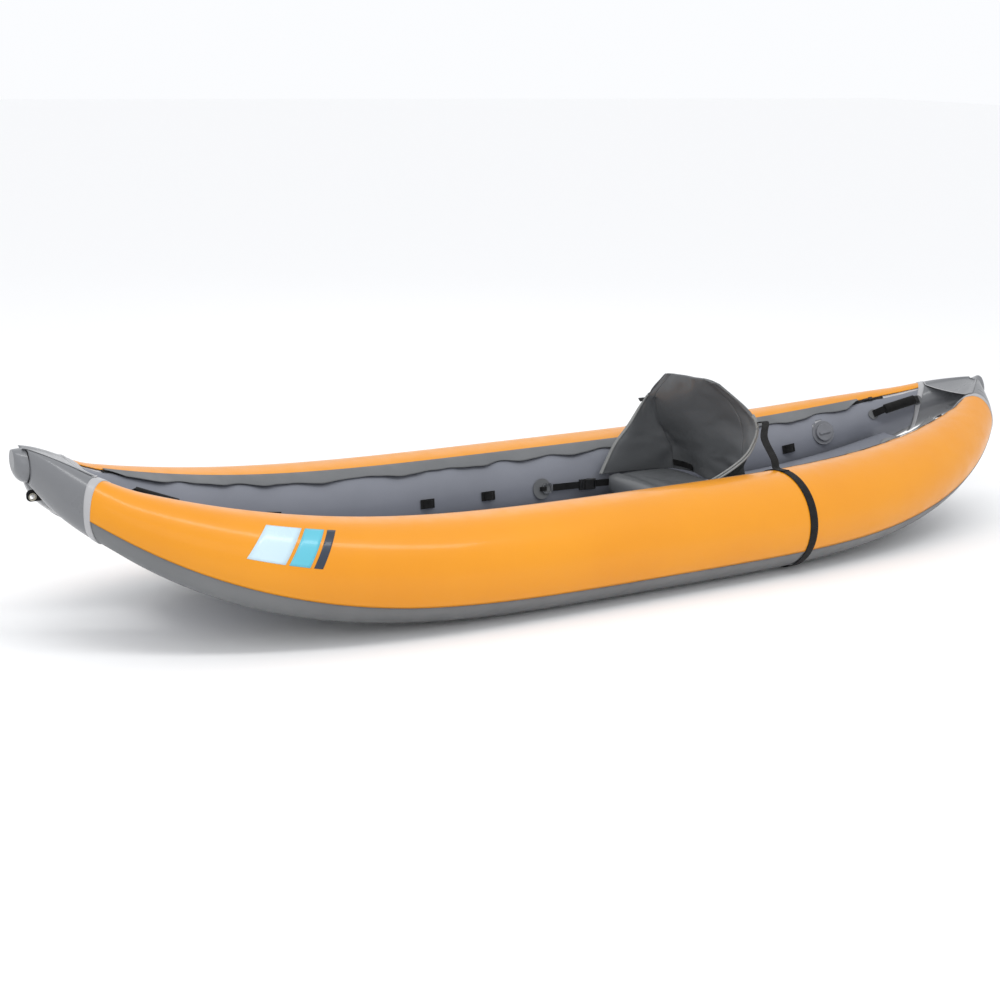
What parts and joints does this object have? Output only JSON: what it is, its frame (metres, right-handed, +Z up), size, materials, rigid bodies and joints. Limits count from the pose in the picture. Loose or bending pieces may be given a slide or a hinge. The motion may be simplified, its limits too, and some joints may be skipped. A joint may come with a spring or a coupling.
{
  "type": "inflatable kayak",
  "caption": "One-person inflatable kayak: two side tubes joined at upturned ends, inflated floor, strapped padded seat, valves, carry handles and zippered shells.",
  "frame": {"origin": "on the ground under the middle of the hull", "axes": "+X towards the stern, +Y starboard, +Z up"},
  "size_m": [3.15, 0.94, 0.481],
  "materials": {
    "air_cell_film": "clear film",
    "base_fabric": "satin coated fabric",
    "buckle_plastic": "moulded acetal",
    "cap_fabric": "semi-gloss coated fabric",
    "flap_fabric": "matt coated fabric",
    "grip_foam": "ribbed foam",
    "grommet_metal": "plated",
    "inner_fabric": "satin coated fabric",
    "patch_fabric": "coated fabric",
    "ring_steel": "stainless",
    "seam_tape": "semi-gloss tape",
    "seat_fabric": "matt coated fabric",
    "spring_steel": "stainless wire",
    "valve_button": "moulded",
    "valve_plastic": "moulded",
    "webbing": "woven webbing",
    "yellow_shell": "glossy coated fabric",
    "zip_metal": "painted",
    "zip_tape": "woven tape"
  },
  "bodies": {
    "hull": {"air_cell_port": "air_cell_film", "air_cell_starboard": "air_cell_film", "base_panel_port": "base_fabric", "base_panel_starboard": "base_fabric", "bow_cone_port": "cap_fabric", "bow_cone_starboard": "cap_fabric", "bow_deck": "cap_fabric", "bow_nose_cap": "cap_fabric", "bow_seam_tapes": "seam_tape", "buckle_sockets": "buckle_plastic", "cargo_loops": "webbing", "d_ring_keepers": "webbing", "drain_webs": "base_fabric", "floor_air_cell": "air_cell_film", "floor_sleeve": "inner_fabric", "front_strap_port": "webbing", "front_strap_starboard": "webbing", "handle_patches": "patch_fabric", "inner_panel_port": "inner_fabric", "inner_panel_starboard": "inner_fabric", "outer_panel_port": "yellow_shell", "outer_panel_starboard": "yellow_shell", "rear_strap_loops": "webbing", "rear_strap_port": "webbing", "rear_strap_starboard": "webbing", "seat_anchor_d_rings": "ring_steel", "seat_anchor_patches": "patch_fabric", "seat_base_cushion": "seat_fabric", "seat_corner_straps": "webbing", "seat_wing_port": "seat_fabric", "seat_wing_starboard": "seat_fabric", "stern_cone_port": "cap_fabric", "stern_cone_starboard": "cap_fabric", "stern_deck": "cap_fabric", "stern_nose_cap": "cap_fabric", "stern_seam_tapes": "seam_tape", "tie_eye_grommets": "grommet_metal", "tie_eye_tabs": "webbing", "valve_body_floor": "valve_plastic", "valve_body_port": "valve_plastic", "valve_body_starboard": "valve_plastic", "valve_springs": "spring_steel", "zip_flap_port": "flap_fabric", "zip_flap_starboard": "flap_fabric", "zippers": "zip_tape"},
    "seat_back": {"seat_back_cushion": "seat_fabric"},
    "stern_handle": {"stern_handle_webbing": "webbing", "stern_handle_grip": "grip_foam"},
    "bow_handle": {"bow_handle_webbing": "webbing", "bow_handle_grip": "grip_foam"},
    "valve_cap_port": {"valve_cap_port": "valve_plastic"},
    "valve_button_port": {"valve_button_port": "valve_button"},
    "valve_cap_starboard": {"valve_cap_starboard": "valve_plastic"},
    "valve_button_starboard": {"valve_button_starboard": "valve_button"},
    "valve_cap_floor": {"valve_cap_floor": "valve_plastic"},
    "valve_button_floor": {"valve_button_floor": "valve_button"},
    "buckle_plug_port": {"buckle_plug_port": "buckle_plastic"},
    "zipper_slider_port": {"zipper_slider_port": "zip_metal"},
    "buckle_plug_starboard": {"buckle_plug_starboard": "buckle_plastic"},
    "zipper_slider_starboard": {"zipper_slider_starboard": "zip_metal"}
  },
  "joints": [
    {"name": "seat_recline", "type": "hinge", "parent": "hull", "child": "seat_back", "pos_m": [0.478, 0, 0.184], "axis": [0, 1, 0], "range_deg": [-65, 22], "deforming": ["rear_strap_port", "rear_strap_starboard", "seat_wing_port", "seat_wing_starboard"]},
    {"name": "stern_handle_swing", "type": "hinge", "parent": "hull", "child": "stern_handle", "pos_m": [1.23908, 0.11368, 0.27981], "axis": [0.9321, -0.2565, 0.2558], "range_deg": [-45, 45], "deforming": ["stern_handle_webbing"]},
    {"name": "bow_handle_swing", "type": "hinge", "parent": "hull", "child": "bow_handle", "pos_m": [-1.19286, -0.12281, 0.30021], "axis": [-0.9165, 0.2084, 0.3415], "range_deg": [-45, 45], "deforming": ["bow_handle_webbing"]},
    {"name": "valve_cap_turn_port", "type": "hinge", "parent": "hull", "child": "valve_cap_port", "pos_m": [1.0639, -0.15237, 0.22838], "axis": [-0.2143, 0.9231, 0.3193], "range_deg": [0, 90]},
    {"name": "valve_button_push_port", "type": "slide", "parent": "hull", "child": "valve_button_port", "axis": [0.2143, -0.9231, -0.3193], "range_m": [0, 0.004], "stiffness_N_per_m": 800, "springref_m": -0.001},
    {"name": "valve_cap_turn_starboard", "type": "hinge", "parent": "hull", "child": "valve_cap_starboard", "pos_m": [1.0639, 0.15237, 0.22838], "axis": [-0.2143, -0.9231, 0.3193], "range_deg": [0, 90]},
    {"name": "valve_button_push_starboard", "type": "slide", "parent": "hull", "child": "valve_button_starboard", "axis": [0.2143, 0.9231, -0.3193], "range_m": [0, 0.004], "stiffness_N_per_m": 800, "springref_m": -0.001},
    {"name": "valve_cap_turn_floor", "type": "hinge", "parent": "hull", "child": "valve_cap_floor", "pos_m": [-1.08067, 0, 0.20358], "axis": [0.2569, 0, 0.9664], "range_deg": [0, 90]},
    {"name": "valve_button_push_floor", "type": "slide", "parent": "hull", "child": "valve_button_floor", "axis": [-0.2569, 0, -0.9664], "range_m": [0, 0.004], "stiffness_N_per_m": 800, "springref_m": -0.001},
    {"name": "buckle_release_port", "type": "slide", "parent": "hull", "child": "buckle_plug_port", "axis": [-0.9951, -0.0989, 0], "range_m": [0, 0.022], "deforming": ["front_strap_port"]},
    {"name": "zipper_slide_port", "type": "slide", "parent": "hull", "child": "zipper_slider_port", "axis": [0.945, 0.2855, 0.1595], "range_m": [0, 0.03]},
    {"name": "buckle_release_starboard", "type": "slide", "parent": "hull", "child": "buckle_plug_starboard", "axis": [-0.9951, 0.0989, 0], "range_m": [0, 0.022], "deforming": ["front_strap_starboard"]},
    {"name": "zipper_slide_starboard", "type": "slide", "parent": "hull", "child": "zipper_slider_starboard", "axis": [0.945, -0.2855, 0.1595], "range_m": [0, 0.03]}
  ]
}
